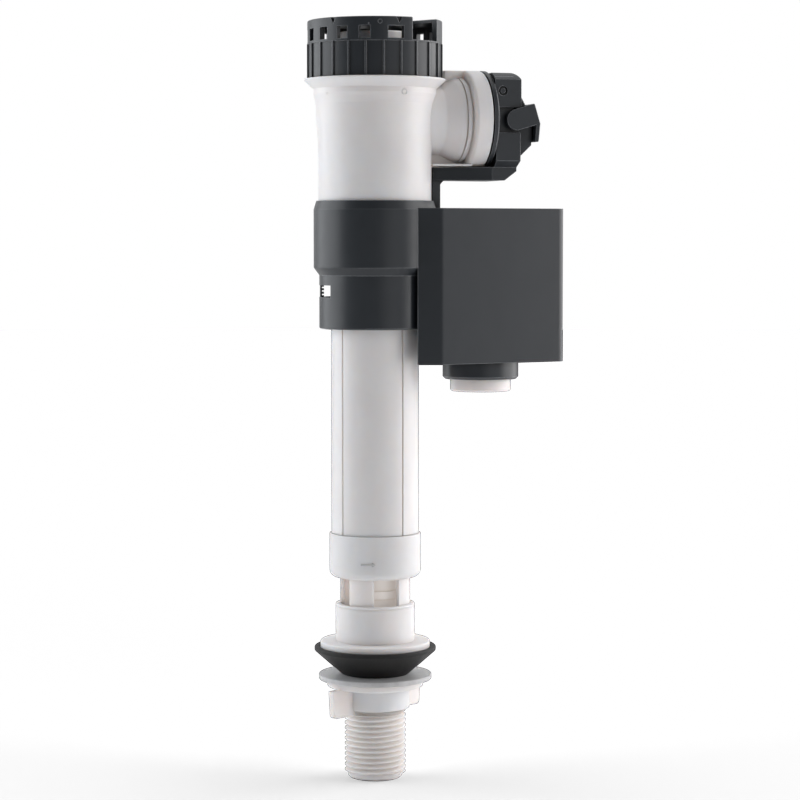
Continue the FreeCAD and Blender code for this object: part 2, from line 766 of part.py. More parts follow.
def outer_tube():
    groove_r = TUBE_SPIGOT_R - LOCK_BEAD_DEPTH
    groove_half = LOCK_BEAD_HALF + MOVING_GAP
    tube = turned([
        (TUBE_BORE_R, TUBE_FOOT_Z),
        (TUBE_SPIGOT_R, TUBE_FOOT_Z),
        (TUBE_SPIGOT_R, LOCK_BEAD_Z - groove_half - LOCK_BEAD_SLOPE),
        (groove_r, LOCK_BEAD_Z - groove_half),
        (groove_r, LOCK_BEAD_Z + groove_half),
        (TUBE_SPIGOT_R, LOCK_BEAD_Z + groove_half + LOCK_BEAD_SLOPE),
        (TUBE_SPIGOT_R, TUBE_SHOULDER_Z),
        (TUBE_R, TUBE_SHOULDER_Z),
        (TUBE_R, TUBE_FLANGE_FOOT_Z),
        (TUBE_FLANGE_R, TUBE_FLANGE_FOOT_Z),
        (TUBE_FLANGE_R, TUBE_HEAD_Z),
        (TUBE_BORE_R, TUBE_HEAD_Z),
    ])
    groove = block(TUBE_R - TUBE_GROOVE_DEPTH, TUBE_R + OVERRUN, TUBE_GROOVE_WIDTH / 2,
                   TUBE_SHOULDER_Z - OVERRUN, TUBE_GROOVE_HEAD_Z)
    return tube.cut([turned_about(groove, angle) for angle in TUBE_GROOVES_DEG])


def body_shell():
    """The body's outside as one turned solid, with the cap's spigot on top."""
    return turned([
        (0, BODY_FOOT_Z),
        (BODY_R, BODY_FOOT_Z, BODY_EDGE_R),
    ] + BODY_FLARE + [
        (BODY_NECK_R, BODY_NECK_Z),
        (BODY_NECK_R, BODY_FLARE_FOOT_Z),
        (BODY_RIM_R, BODY_RIM_FOOT_Z),
        (BODY_RIM_R, BODY_RIM_Z),
        (SPIGOT_R, BODY_RIM_Z),
        (SPIGOT_R, SPIGOT_HEAD_Z, BODY_EDGE_R),
        (0, SPIGOT_HEAD_Z),
    ])


def arm_shell():
    """The side arm and the diaphragm housing as one turned solid."""
    return turned_on_arm([
        (ARM_ROOT_X, 0),
        (ARM_ROOT_X, ARM_NECK_R),
        (ARM_CONE_FOOT_X, ARM_NECK_R, OVERRUN),
        (ARM_CONE_HEAD_X, ARM_CONE_R, ARM_CONE_EDGE_R),
        (ARM_RING_X, ARM_RING_R),
        (ARM_RING_X, ARM_GROOVE_R),
        (ARM_GROOVE_X, ARM_GROOVE_R),
        (ARM_GROOVE_X, ARM_STEP_R),
        (ARM_STEP_X, ARM_STEP_R),
        (ARM_DIP_X, ARM_DIP_R),
        (HOUSING_BACK_X, ARM_DIP_R),
        (HOUSING_BACK_X, HOUSING_R, HOUSING_BACK_EDGE_R),
        (HOUSING_FACE_X, HOUSING_R, HOUSING_EDGE_R),
        (HOUSING_FACE_X, 0),
    ])


def below_shelf():
    """Tool that cuts the head's round pieces flat at the foot of the shelf."""
    return block(ARM_CONE_HEAD_X, HOOD_FRONT_X, HOUSING_R, ARM_Z - HOUSING_R - OVERRUN,
                 SHELF_FOOT_Z)


def valve_body():
    lugs = [sector(SPIGOT_R - SEATED_GAP, LUG_R, LUG_FOOT_Z, LUG_HEAD_Z, angle, LUG_DEG)
            for angle in evenly(LUG_COUNT, LUG_START_DEG)]
    head_back_x = HOUSING_BACK_X + HOUSING_BACK_EDGE_R
    shelf = block(BODY_R - OVERRUN, head_back_x, SHELF_HALF, SHELF_FOOT_Z, SHELF_HEAD_Z)
    web = block(BODY_R - OVERRUN, head_back_x, ARM_WEB_HALF,
                SHELF_FOOT_Z, ARM_Z - ARM_NECK_R + OVERRUN)
    top_lug = block(TOP_LUG_X, head_back_x, TOP_LUG_HALF,
                    ARM_Z + ARM_NECK_R - OVERRUN, ARM_Z + TOP_LUG_HEIGHT)
    arm = arm_shell().cut(below_shelf())
    outside = fused([body_shell(), arm, shelf, web, top_lug] + lugs)
    bores = [
        cylinder(BODY_BORE_R, BODY_FOOT_Z - OVERRUN, TUBE_HEAD_Z),
        cylinder(BODY_LEDGE_R, TUBE_HEAD_Z - OVERRUN, BODY_LEDGE_HEAD_Z + OVERRUN),
        cylinder(BODY_BORE_R, BODY_LEDGE_HEAD_Z, SPIGOT_HEAD_Z + OVERRUN),
        rod_along_x(ARM_BORE_R, 0, CHAMBER_BACK_X + OVERRUN),
        rod_along_x(CHAMBER_R, CHAMBER_BACK_X, CHAMBER_STEP_X + OVERRUN),
        rod_along_x(CHAMBER_MOUTH_R, CHAMBER_STEP_X, HOUSING_FACE_X + OVERRUN),
    ]
    return outside.cut(bores)


def riser_elbow():
    riser = cylinder(UPPER_RISER_R, UPPER_RISER_FOOT_Z, UPPER_RISER_HEAD_Z)
    nozzle = turned_on_arm([
        (0, 0),
        (0, NOZZLE_R),
        (NOZZLE_FACE_X, NOZZLE_R, NOZZLE_EDGE_R),
        (NOZZLE_FACE_X, 0),
    ])
    crown = cylinder(CROWN_R, CROWN_FOOT_Z, CROWN_HEAD_Z)
    hole = cylinder(CROWN_HOLE_R, CROWN_FOOT_Z - OVERRUN, CROWN_HEAD_Z + OVERRUN,
                    CROWN_HOLE_CENTRE_R)
    tools = [turned_about(hole, angle) for angle in evenly(CROWN_HOLES, 0)]
    tools.append(cylinder(UPPER_RISER_BORE_R, UPPER_RISER_FOOT_Z - OVERRUN,
                          UPPER_RISER_HEAD_Z - UPPER_RISER_ROOF))
    tools.append(rod_along_x(NOZZLE_BORE_R, 0, NOZZLE_FACE_X + OVERRUN))
    return fused([riser, nozzle, crown]).cut(tools)


# ---- valve head ----

def diaphragm():
    seat_x = NOZZLE_FACE_X + SEATED_GAP
    back_x = seat_x + DIAPHRAGM_THICKNESS
    bead_face_x = DIAPHRAGM_BEAD_X + DIAPHRAGM_BEAD_THICKNESS
    return turned_on_arm([
        (seat_x, DIAPHRAGM_HOLE_R),
        (seat_x, DIAPHRAGM_CENTRE_R),
        (DIAPHRAGM_BEAD_X, DIAPHRAGM_FLEX_R),
        (DIAPHRAGM_BEAD_X, DIAPHRAGM_R),
        (bead_face_x, DIAPHRAGM_R),
        (bead_face_x, COVER_SKIRT_BORE_R),
        (DIAPHRAGM_BEAD_X + DIAPHRAGM_THICKNESS, DIAPHRAGM_FLEX_R - DIAPHRAGM_BEND),
        (back_x, DIAPHRAGM_CENTRE_R - DIAPHRAGM_BEND),
        (back_x, DIAPHRAGM_HOLE_R),
    ])


def diaphragm_plate():
    back_x = NOZZLE_FACE_X + DIAPHRAGM_THICKNESS + 2 * SEATED_GAP
    return turned_on_arm([
        (METERING_PIN_TIP_X, 0),
        (METERING_PIN_TIP_X, METERING_PIN_R),
        (back_x, METERING_PIN_R),
        (back_x, PLATE_R),
        (back_x + PLATE_THICKNESS, PLATE_R - SEATED_GAP),
        (back_x + PLATE_THICKNESS, 0),
    ])


def cover_seal():
    return turned_on_arm([
        (HOUSING_FACE_X + COVER_SEAL_GAP, COVER_SEAL_BORE_R),
        (HOUSING_FACE_X + COVER_SEAL_GAP, COVER_SEAL_R),
        (COVER_BACK_X - COVER_SEAL_GAP, COVER_SEAL_R),
        (COVER_BACK_X - COVER_SEAL_GAP, COVER_SEAL_BORE_R),
    ])


def cover_hood():
    """Arched hood on the cover's face, open below and behind."""
    outside = slab([
        (COVER_FACE_X - SEATED_GAP, HOOD_FOOT_Z),
        (HOOD_FRONT_X, HOOD_FOOT_Z),
        (HOOD_FRONT_X, HOOD_HEAD_Z, HOOD_CORNER_R),
        (COVER_FACE_X - SEATED_GAP, HOOD_HEAD_Z),
    ], HOOD_HALF)
    limit = rod_along_x(HOOD_LIMIT_R, COVER_BACK_X, HOOD_FRONT_X + OVERRUN)
    roof_z = HOOD_HEAD_Z - HOOD_FRONT_WALL
    inner_x = HOOD_FRONT_X - HOOD_FRONT_WALL
    inside = slab([
        (COVER_FACE_X, HOOD_FOOT_Z - OVERRUN),
        (inner_x, HOOD_FOOT_Z - OVERRUN),
        (inner_x, roof_z, HOOD_CORNER_R - HOOD_FRONT_WALL),
        (COVER_FACE_X, roof_z),
    ], HOOD_HALF - HOOD_WALL)
    return outside.common(limit).cut(inside)


def valve_cover():
    disc = turned_on_arm([
        (COVER_BACK_X, 0),
        (COVER_BACK_X, HOUSING_R),
        (COVER_FACE_X - COVER_EDGE, HOUSING_R),
        (COVER_FACE_X, HOUSING_R - COVER_EDGE),
        (COVER_FACE_X, PILOT_R),
        (PILOT_TIP_X - COVER_EDGE, PILOT_R),
        (PILOT_TIP_X, PILOT_TIP_R),
        (PILOT_TIP_X, 0),
    ])
    skirt = turned_on_arm([
        (COVER_SKIRT_X, COVER_SKIRT_BORE_R),
        (COVER_SKIRT_X, COVER_SKIRT_R),
        (COVER_BACK_X + SEATED_GAP, COVER_SKIRT_R),
        (COVER_BACK_X + SEATED_GAP, COVER_SKIRT_BORE_R),
    ])
    pin_hole_r = PIVOT_PIN_R + RUNNING_GAP / 2
    recess_y = HOOD_HALF - PIVOT_RECESS_DEPTH
    tools = [
        rod_along_x(PILOT_BORE_R, COVER_SKIRT_X, PILOT_TIP_X + OVERRUN),
        rod_along_y(pin_hole_r, PIVOT_X, PIVOT_Z, -HOOD_HALF, HOOD_HALF),
        rod_along_y(PIVOT_RECESS_R, PIVOT_X, PIVOT_Z, -HOOD_HALF - OVERRUN, -recess_y),
        rod_along_y(PIVOT_RECESS_R, PIVOT_X, PIVOT_Z, recess_y, HOOD_HALF + OVERRUN),
    ]
    return fused([disc.cut(below_shelf()), skirt, cover_hood()]).cut(tools)


def pivot_pin():
    return rod_along_y(PIVOT_PIN_R, PIVOT_X, PIVOT_Z, -PIVOT_PIN_HALF, PIVOT_PIN_HALF)


def lever_bar():
    """Tapered bar under the arm, cut off on a slope below the head."""
    plan = extruded_plan([
        (BAR_TIP_X, -BAR_TIP_HALF),
        (BAR_WIDE_X, -BAR_HEAD_HALF),
        (BAR_END_X, -BAR_HEAD_HALF),
        (BAR_END_X, BAR_HEAD_HALF),
        (BAR_WIDE_X, BAR_HEAD_HALF),
        (BAR_TIP_X, BAR_TIP_HALF),
    ], BAR_FOOT_Z, BAR_HEAD_Z)
    side = slab([
        (BAR_TIP_X, BAR_FOOT_Z),
        (BAR_BEND_X, BAR_FOOT_Z),
        (BAR_END_X, BAR_END_Z),
        (BAR_END_X, BAR_HEAD_Z),
        (BAR_TIP_X, BAR_HEAD_Z),
    ], BAR_HEAD_HALF)
    return plan.common(side)


def lever_blend():
    """Bevelled step between the bar and the wider foot of the lever."""
    lower = outline([
        (LEVER_BACK_X, -BAR_HEAD_HALF),
        (BAR_END_X, -BAR_HEAD_HALF),
        (BAR_END_X, BAR_HEAD_HALF),
        (LEVER_BACK_X, BAR_HEAD_HALF),
    ], in_plan).OuterWire
    upper = outline([
        (LEVER_BACK_X, -LEVER_FOOT_HALF),
        (LEVER_FRONT_X, -LEVER_FOOT_HALF),
        (LEVER_FRONT_X, LEVER_FOOT_HALF),
        (LEVER_BACK_X, LEVER_FOOT_HALF),
    ], in_plan).OuterWire
    lower.translate(Vector(0, 0, BAR_HEAD_Z))
    upper.translate(Vector(0, 0, LEVER_FOOT_Z))
    return Part.makeLoft([lower, upper], True, True)


def pilot_lever():
    foot = block(LEVER_BACK_X, LEVER_FRONT_X, LEVER_FOOT_HALF, LEVER_FOOT_Z, LEVER_FOOT_HEAD_Z)
    cheeks = slab([
        (LEVER_CHEEK_BACK_X, LEVER_FOOT_HEAD_Z - OVERRUN),
        (LEVER_FRONT_X, LEVER_FOOT_HEAD_Z - OVERRUN),
        (LEVER_FRONT_X, LEVER_STEP_Z),
        (LEVER_STEP_X, LEVER_STEP_Z),
        (LEVER_STEP_X, LEVER_HEAD_Z, LEVER_HEAD_R),
        (LEVER_CHEEK_BACK_X, LEVER_HEAD_Z, LEVER_HEAD_R),
    ], LEVER_CHEEK_HALF)
    hollow = block(LEVER_BACK_X - OVERRUN, LEVER_HOLLOW_FRONT_X, LEVER_HOLLOW_HALF,
                   LEVER_HOLLOW_FOOT_Z, LEVER_HEAD_Z + OVERRUN)
    pin_r = PIVOT_PIN_R + RUNNING_GAP
    clip_r = CLIP_PIN_R + RUNNING_GAP
    socket_y = CLIP_PIN_Y - MOVING_GAP
    tools = [
        hollow,
        rod_along_x(HOLDER_R + SEATED_GAP, LEVER_BACK_X, LEVER_FRONT_X + OVERRUN),
        rod_along_y(pin_r, PIVOT_X, PIVOT_Z, -LEVER_FOOT_HALF, LEVER_FOOT_HALF),
        rod_along_y(clip_r, CLIP_X, CLIP_Z, -LEVER_FOOT_HALF, -socket_y),
        rod_along_y(clip_r, CLIP_X, CLIP_Z, socket_y, LEVER_FOOT_HALF),
    ]
    return fused([foot, cheeks, lever_blend(), lever_bar()]).cut(tools)


def float_rod():
    head_z = BAR_FOOT_Z
    toe_z = ROD_FOOT_Z + ROD_TOE_HEIGHT
    return slab([
        (ROD_BACK_X, ROD_FOOT_Z),
        (ROD_TOE_X, ROD_FOOT_Z, ROD_TOE_EDGE_R),
        (ROD_TOE_X, toe_z, ROD_TOE_EDGE_R),
        (ROD_FRONT_X, toe_z, ROD_GUSSET),
        (ROD_FRONT_X, head_z - ROD_GUSSET),
        (ROD_FRONT_X + ROD_GUSSET, head_z),
        (ROD_BACK_X, head_z),
    ], ROD_HALF)


def pilot_seal():
    return rod_along_x(PILOT_SEAL_R, PILOT_TIP_X + PILOT_SEAL_GAP, HOLDER_TIP_X)


def seal_holder():
    nose = slab([
        (NOSE_BACK_X, NOSE_FOOT_Z),
        (NOSE_BACK_X, NOSE_STEP_Z),
        (NOSE_TOP_BACK_X, NOSE_STEP_Z),
        (NOSE_TOP_BACK_X, NOSE_TOP_Z),
    ] + NOSE_PROFILE + [(NOSE_FOOT_X, NOSE_FOOT_Z)], NOSE_HALF)
    plug = rod_along_x(HOLDER_R, HOLDER_TIP_X, NOSE_BACK_X + OVERRUN)
    return fused([nose, plug])


def seal_clip():
    slope = math.radians(CLIP_SLOPE_DEG)
    lean_x = CLIP_END_R * math.sin(slope)
    lean_z = CLIP_END_R * math.cos(slope)
    rise = math.tan(slope)
    top_start = (CLIP_X - lean_x, CLIP_Z + lean_z)
    foot_start = (CLIP_X + lean_x, CLIP_Z - lean_z)
    top_end = (CLIP_TOP_X, top_start[1] + (CLIP_TOP_X - top_start[0]) * rise)
    foot_end = (CLIP_FRONT_X, foot_start[1] + (CLIP_FRONT_X - foot_start[0]) * rise)
    arm_end = [(x - CLIP_WALL / 2, z - CLIP_WALL / 2 * rise) for x, z in (foot_end, top_end)]
    arm = slab([top_start, foot_start] + arm_end, CLIP_OUTER_Y)
    ends = rod_along_y(CLIP_END_R, CLIP_X, CLIP_Z, -CLIP_OUTER_Y, CLIP_OUTER_Y)
    between = slab([
        (CLIP_X - 2 * CLIP_END_R, CLIP_Z - 2 * CLIP_END_R),
        (CLIP_FRONT_X, CLIP_Z - 2 * CLIP_END_R),
        (CLIP_FRONT_X, CLIP_Z + 2 * CLIP_END_R),
        (CLIP_X - 2 * CLIP_END_R, CLIP_Z + 2 * CLIP_END_R),
    ], CLIP_INNER_Y)
    wall = slab([
        top_end + (CLIP_EDGE_R,),
        foot_end + (CLIP_EDGE_R,),
        CLIP_TOE + (CLIP_EDGE_R,),
        CLIP_TOE_INNER,
        (foot_end[0] - CLIP_WALL, foot_end[1]),
        (top_end[0] - CLIP_WALL, top_end[1] - CLIP_WALL * rise),
    ], CLIP_OUTER_Y)
    pins = [rod_along_y(CLIP_PIN_R, CLIP_X, CLIP_Z, -CLIP_OUTER_Y, -CLIP_PIN_Y),
            rod_along_y(CLIP_PIN_R, CLIP_X, CLIP_Z, CLIP_PIN_Y, CLIP_OUTER_Y)]
    sides = arm.fuse(ends).cut(between)
    return fused([wall] + sides.Solids + pins)


# ---- float cup ----

def cup_outline(inset):
    """Plan face of the cup, drawn in from its outside by the inset."""
    corner_y = math.sqrt(CUP_BACK_R ** 2 - CUP_CORNER_X ** 2)
    right = [(CUP_CORNER_X, -corner_y),
             (CUP_SHOULDER_X, -CUP_SHOULDER_Y, CUP_SHOULDER_R),
             (CUP_END_X, -CUP_END_HALF, CUP_END_R)]
    left = [(point[0], -point[1]) + tuple(point[2:]) for point in reversed(right)]
    whole = outline(right + left, in_plan)
    if inset:
        whole = whole.makeOffset2D(-inset)
    return whole


def cup_prism(inset, foot_z, head_z):
    """Prism on the cup's plan, hollowed towards the column to the same inset."""
    face = cup_outline(inset)
    face.translate(Vector(0, 0, foot_z))
    prism = face.extrude(Vector(0, 0, head_z - foot_z))
    return prism.cut(cylinder(CUP_BACK_R + inset, foot_z - OVERRUN, head_z + OVERRUN))


def collar():
    return turned([
        (COLLAR_LOWER_BORE_R, COLLAR_FOOT_Z),
        (COLLAR_LOWER_R, COLLAR_FOOT_Z, COLLAR_EDGE_R),
        (COLLAR_LOWER_R, COLLAR_STEP_FOOT_Z),
        (COLLAR_R, COLLAR_STEP_HEAD_Z, COLLAR_EDGE_R),
        (COLLAR_R, COLLAR_BEVEL_Z),
        (COLLAR_HEAD_R, COLLAR_HEAD_Z),
        (COLLAR_BORE_R, COLLAR_HEAD_Z),
        (COLLAR_BORE_R, COLLAR_BORE_Z),
        (COLLAR_LOWER_BORE_R, COLLAR_BORE_Z - OVERRUN),
    ])


def float_cup():
    walls = cup_prism(0, CUP_FOOT_Z, CUP_HEAD_Z)
    hollow = cup_prism(CUP_WALL, CUP_FOOT_Z + CUP_WALL, CUP_HEAD_Z + OVERRUN)
    web = sector(COLLAR_LOWER_BORE_R, CUP_BACK_R + CUP_WALL / 2, COLLAR_FOOT_Z,
                 COLLAR_STEP_HEAD_Z, 0, WEB_DEG)
    ribs = [sector(RIB_R, COLLAR_LOWER_BORE_R + SEATED_GAP, COLLAR_FOOT_Z,
                   COLLAR_BORE_Z - OVERRUN, angle, RIB_DEG)
            for angle in evenly(RIB_COUNT, RIB_START_DEG)]
    window = sector(RIB_R, COLLAR_R, LATCH_WINDOW_FOOT_Z, LATCH_WINDOW_HEAD_Z,
                    LATCH_WINDOW_CENTRE_DEG, LATCH_WINDOW_DEG)
    rod_slot = block(ROD_SLOT_BACK_X, ROD_SLOT_FRONT_X, ROD_SLOT_HALF,
                     ROD_SLOT_FOOT_Z, COLLAR_HEAD_Z + OVERRUN)
    drain = cylinder(DRAIN_HOLE_R, CUP_FOOT_Z - OVERRUN, CUP_FOOT_Z + 2 * CUP_WALL, DRAIN_X)
    cup = walls.cut(hollow)
    return fused([cup, collar(), web] + ribs).cut([window, rod_slot, drain])


def cup_latch():
    latch = sector(LATCH_BORE_R, LATCH_R, LATCH_WINDOW_FOOT_Z, LATCH_WINDOW_HEAD_Z,
                   LATCH_CENTRE_DEG, LATCH_DEG)
    root_r = LATCH_BORE_R + LATCH_TOOTH_DEPTH
    middle_z = (LATCH_WINDOW_FOOT_Z + LATCH_WINDOW_HEAD_Z) / 2
    first_z = middle_z - (LATCH_TEETH - 1) / 2 * LATCH_TOOTH_PITCH - LATCH_TOOTH_GAP / 2
    gaps = []
    for index in range(LATCH_TEETH):
        foot_z = first_z + index * LATCH_TOOTH_PITCH
        gaps.append(sector(LATCH_BORE_R - OVERRUN, root_r, foot_z, foot_z + LATCH_TOOTH_GAP,
                           LATCH_CENTRE_DEG, LATCH_DEG + OVERRUN))
    return latch.cut(gaps)


def inner_float():
    body = cup_prism(CUP_WALL + FLOAT_GAP, FLOAT_FOOT_Z, FLOAT_HEAD_Z)
    slot = block(ROD_SLOT_BACK_X, FLOAT_SLOT_FRONT_X, ROD_SLOT_HALF,
                 FLOAT_SLOT_FOOT_Z, FLOAT_HEAD_Z + OVERRUN)
    return body.cut(slot)


def moved_to_drain(shape):
    shape.translate(Vector(DRAIN_X, 0, 0))
    return shape


def drain_seat():
    bevel = DRAIN_SEAT_BEVEL
    return moved_to_drain(turned([
        (DRAIN_SEAT_BORE_R, DRAIN_SEAT_FOOT_Z),
        (DRAIN_SEAT_R - bevel, DRAIN_SEAT_FOOT_Z),
        (DRAIN_SEAT_R, DRAIN_SEAT_FOOT_Z + bevel),
        (DRAIN_SEAT_R, CUP_FOOT_Z),
        (DRAIN_SEAT_BORE_R, CUP_FOOT_Z),
    ]))


def drain_float():
    disc = turned([
        (0, DRAIN_FLOAT_FOOT_Z),
        (DRAIN_FLOAT_R, DRAIN_FLOAT_FOOT_Z, DRAIN_FLOAT_EDGE_R),
        (DRAIN_FLOAT_R, DRAIN_FLOAT_HEAD_Z, DRAIN_FLOAT_EDGE_R / 2),
        (DRAIN_STEM_R, DRAIN_FLOAT_HEAD_Z),
        (DRAIN_STEM_R, DRAIN_CROSS_HEAD_Z),
        (0, DRAIN_CROSS_HEAD_Z),
    ])
    bar = block(-DRAIN_CROSS_REACH, DRAIN_CROSS_REACH, DRAIN_CROSS_HALF,
                DRAIN_CROSS_FOOT_Z, DRAIN_CROSS_HEAD_Z)
    bars = [turned_about(bar, angle) for angle in (0, FULL_TURN / 4)]
    return moved_to_drain(fused([disc] + bars))


def drain_seal():
    head_z = DRAIN_FLOAT_HEAD_Z + DRAIN_SEAL_THICKNESS
    bore_r = DRAIN_STEM_R + SEATED_GAP
    return moved_to_drain(turned([
        (bore_r, DRAIN_FLOAT_HEAD_Z),
        (DRAIN_SEAL_R, DRAIN_FLOAT_HEAD_Z),
        (DRAIN_SEAL_R, head_z),
        (bore_r, head_z),
    ]))


# ---- air vent ----

def cap_openings():
    """Air windows, the square notch and the two small nicks in the rim."""
    inner_r = CAP_BORE_R - OVERRUN
    outer_r = CAP_R + OVERRUN
    tools = [sector(inner_r, outer_r, VENT_FOOT_Z, VENT_HEAD_Z, VENT_WIDE_CENTRE_DEG,
                    VENT_WIDE_DEG)]
    for index in range(VENT_COUNT):
        angle = VENT_START_DEG - VENT_PITCH_DEG * index
        tools.append(sector(inner_r, outer_r, VENT_FOOT_Z, VENT_HEAD_Z, angle, VENT_DEG))
    notch = block(CAP_NOTCH_INNER_X, outer_r + OVERRUN, CAP_NOTCH_HALF,
                  CAP_NOTCH_FOOT_Z, CAP_HEAD_Z + OVERRUN)
    tools.append(turned_about(notch, CAP_NOTCH_DEG))
    for angle in CAP_NICKS_DEG:
        wedge = Part.Face(Part.makePolygon([
            Vector(CAP_NICK_INNER_R, -CAP_NICK_HALF, CAP_HEAD_Z + SEATED_GAP),
            Vector(CAP_NICK_INNER_R, CAP_NICK_HALF, CAP_HEAD_Z + SEATED_GAP),
            Vector(CAP_NICK_INNER_R, 0, CAP_HEAD_Z - CAP_NICK_DEPTH),
            Vector(CAP_NICK_INNER_R, -CAP_NICK_HALF, CAP_HEAD_Z + SEATED_GAP),
        ])).extrude(Vector(outer_r - CAP_NICK_INNER_R, 0, 0))
        tools.append(turned_about(wedge, angle))
    return tools


def vent_cap():
    shell = turned([
        (CAP_BORE_R, CAP_FOOT_Z),
        (CAP_BAND_R, CAP_FOOT_Z),
        (CAP_BAND_R, CAP_BAND_Z),
        (CAP_R, CAP_BAND_Z),
        (CAP_R, CAP_HEAD_Z, CAP_EDGE_R),
        (0, CAP_HEAD_Z),
        (0, CAP_HEAD_Z - CAP_ROOF),
        (CAP_BORE_R, CAP_HEAD_Z - CAP_ROOF),
    ])
    ridges = [sector(CAP_BAND_R - SEATED_GAP, CAP_RIDGE_R, CAP_FOOT_Z, CAP_BAND_Z, angle,
                     CAP_RIDGE_DEG)
              for angle in evenly(CAP_RIDGES, CAP_RIDGE_START_DEG)]
    groove = sector(CAP_BORE_R - OVERRUN, CAP_GROOVE_R, CAP_GROOVE_FOOT_Z,
                    CAP_GROOVE_HEAD_Z, 0, FULL_TURN)
    entries = [sector(CAP_BORE_R - OVERRUN, CAP_GROOVE_R, CAP_FOOT_Z - OVERRUN,
                      CAP_GROOVE_HEAD_Z, angle - CAP_TWIST_DEG, CAP_ENTRY_DEG)
               for angle in evenly(LUG_COUNT, LUG_START_DEG)]
    return fused([shell] + ridges).cut([groove] + entries + cap_openings())


def vent_insert():
    roof_z = VENT_DRUM_HEAD_Z - VENT_DRUM_ROOF
    drum = turned([
        (0, roof_z),
        (VENT_DRUM_BORE_R, roof_z),
        (VENT_DRUM_BORE_R, VENT_RIM_FOOT_Z),
        (VENT_RIM_R, VENT_RIM_FOOT_Z),
        (VENT_RIM_R, VENT_RIM_HEAD_Z),
        (VENT_DRUM_R, VENT_RIM_HEAD_Z),
        (VENT_DRUM_R, VENT_DRUM_HEAD_Z, CAP_EDGE_R),
        (0, VENT_DRUM_HEAD_Z),
    ])
    hole = cylinder(VENT_HOLE_R, VENT_RIM_FOOT_Z - OVERRUN, VENT_RIM_HEAD_Z + OVERRUN,
                    VENT_HOLE_CENTRE_R)
    return drum.cut([turned_about(hole, angle) for angle in evenly(VENT_HOLES, 0)])


def vent_membrane():
    foot_z = VENT_RIM_HEAD_Z + SEATED_GAP
    return sector(VENT_DRUM_R + SEATED_GAP, MEMBRANE_R, foot_z, foot_z + MEMBRANE_THICKNESS,
                  0, FULL_TURN)


PIECES = [
    threaded_base, inlet_strainer, flow_regulator, seal_cone, outlet_cage, lower_riser,
    riser_o_ring, friction_washer, wing_nut, lock_ring, outer_tube, valve_body, riser_elbow,
    diaphragm, diaphragm_plate, cover_seal, valve_cover, pivot_pin, pilot_lever, float_rod,
    pilot_seal, seal_holder, seal_clip, float_cup, cup_latch, inner_float, drain_seat,
    drain_float, drain_seal, vent_cap, vent_insert, vent_membrane,
]


def write_parts():
    """Write each piece to its own file, named after its function."""
    os.makedirs("parts", exist_ok=True)
    for piece in PIECES:
        shape = piece()
        solids = len(shape.Solids)
        print(f"{piece.__name__:18s} valid {shape.isValid()} solids {solids} "
              f"volume {shape.Volume:10.1f}")
        shape.exportStep(f"parts/{piece.__name__}.step")


write_parts()
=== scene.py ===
import math

import bmesh
import bpy
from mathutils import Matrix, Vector


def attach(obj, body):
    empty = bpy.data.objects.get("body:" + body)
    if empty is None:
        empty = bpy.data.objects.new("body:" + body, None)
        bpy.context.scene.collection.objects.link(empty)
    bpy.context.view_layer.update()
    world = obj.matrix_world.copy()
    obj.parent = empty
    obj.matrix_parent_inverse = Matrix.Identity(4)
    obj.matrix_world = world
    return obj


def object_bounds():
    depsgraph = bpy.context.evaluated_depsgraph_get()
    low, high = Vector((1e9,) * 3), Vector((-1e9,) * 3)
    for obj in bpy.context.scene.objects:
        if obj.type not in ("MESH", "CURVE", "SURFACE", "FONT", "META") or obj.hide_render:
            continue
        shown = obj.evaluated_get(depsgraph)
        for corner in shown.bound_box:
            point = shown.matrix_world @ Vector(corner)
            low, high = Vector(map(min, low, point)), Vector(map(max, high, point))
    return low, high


# Toilet fill valve, dressed for the studio. Metres, in the row frame: +Z is up the column, the
# origin is where the seal meets the cistern floor, and +X runs along the side arm to the cup.

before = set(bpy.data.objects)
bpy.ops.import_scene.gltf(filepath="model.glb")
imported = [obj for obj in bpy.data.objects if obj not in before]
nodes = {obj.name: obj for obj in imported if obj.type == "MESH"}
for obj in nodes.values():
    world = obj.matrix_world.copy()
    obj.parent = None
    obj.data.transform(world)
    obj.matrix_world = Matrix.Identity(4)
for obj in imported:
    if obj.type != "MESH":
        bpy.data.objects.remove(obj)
cad_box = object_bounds()

MM = 0.001

# Viewpoint: a long lens, a little to the left of the front (-Y) and tipped down slightly
VIEW_AZIMUTH = math.radians(-17)
CAMERA_DISTANCE = 0.852
CAMERA_HEIGHT = 0.1521
CAMERA_SIDE = 0.0086
CAMERA_PITCH = math.radians(3.853)
LENS_MM = 111.62
SENSOR_MM = 36.0
CLIP_NEAR = 0.05
CLIP_FAR = 20

VIEW_RIGHT = Vector((math.cos(VIEW_AZIMUTH), math.sin(VIEW_AZIMUTH), 0))
VIEW_FORWARD = Vector((-math.sin(VIEW_AZIMUTH), math.cos(VIEW_AZIMUTH), 0))


# ---- node trees ----

BEVEL_SAMPLES = 4
OPENNESS_SAMPLES = 6

# Agreement of the eased normal with the surface's own: flat skin first, then a full edge
EDGE_RANGE = (0.998, 0.94)

# Share of open sky: a closed corner first, then clear skin
OPEN_RANGE = (0.45, 0.95)


def new_tree(name):
    """Material with an empty tree, its shader and its output."""
    material = bpy.data.materials.new(name)
    material.use_nodes = True
    tree = material.node_tree
    tree.nodes.clear()
    output = tree.nodes.new("ShaderNodeOutputMaterial")
    shader = tree.nodes.new("ShaderNodeBsdfPrincipled")
    tree.links.new(shader.outputs["BSDF"], output.inputs["Surface"])
    return material, tree, shader


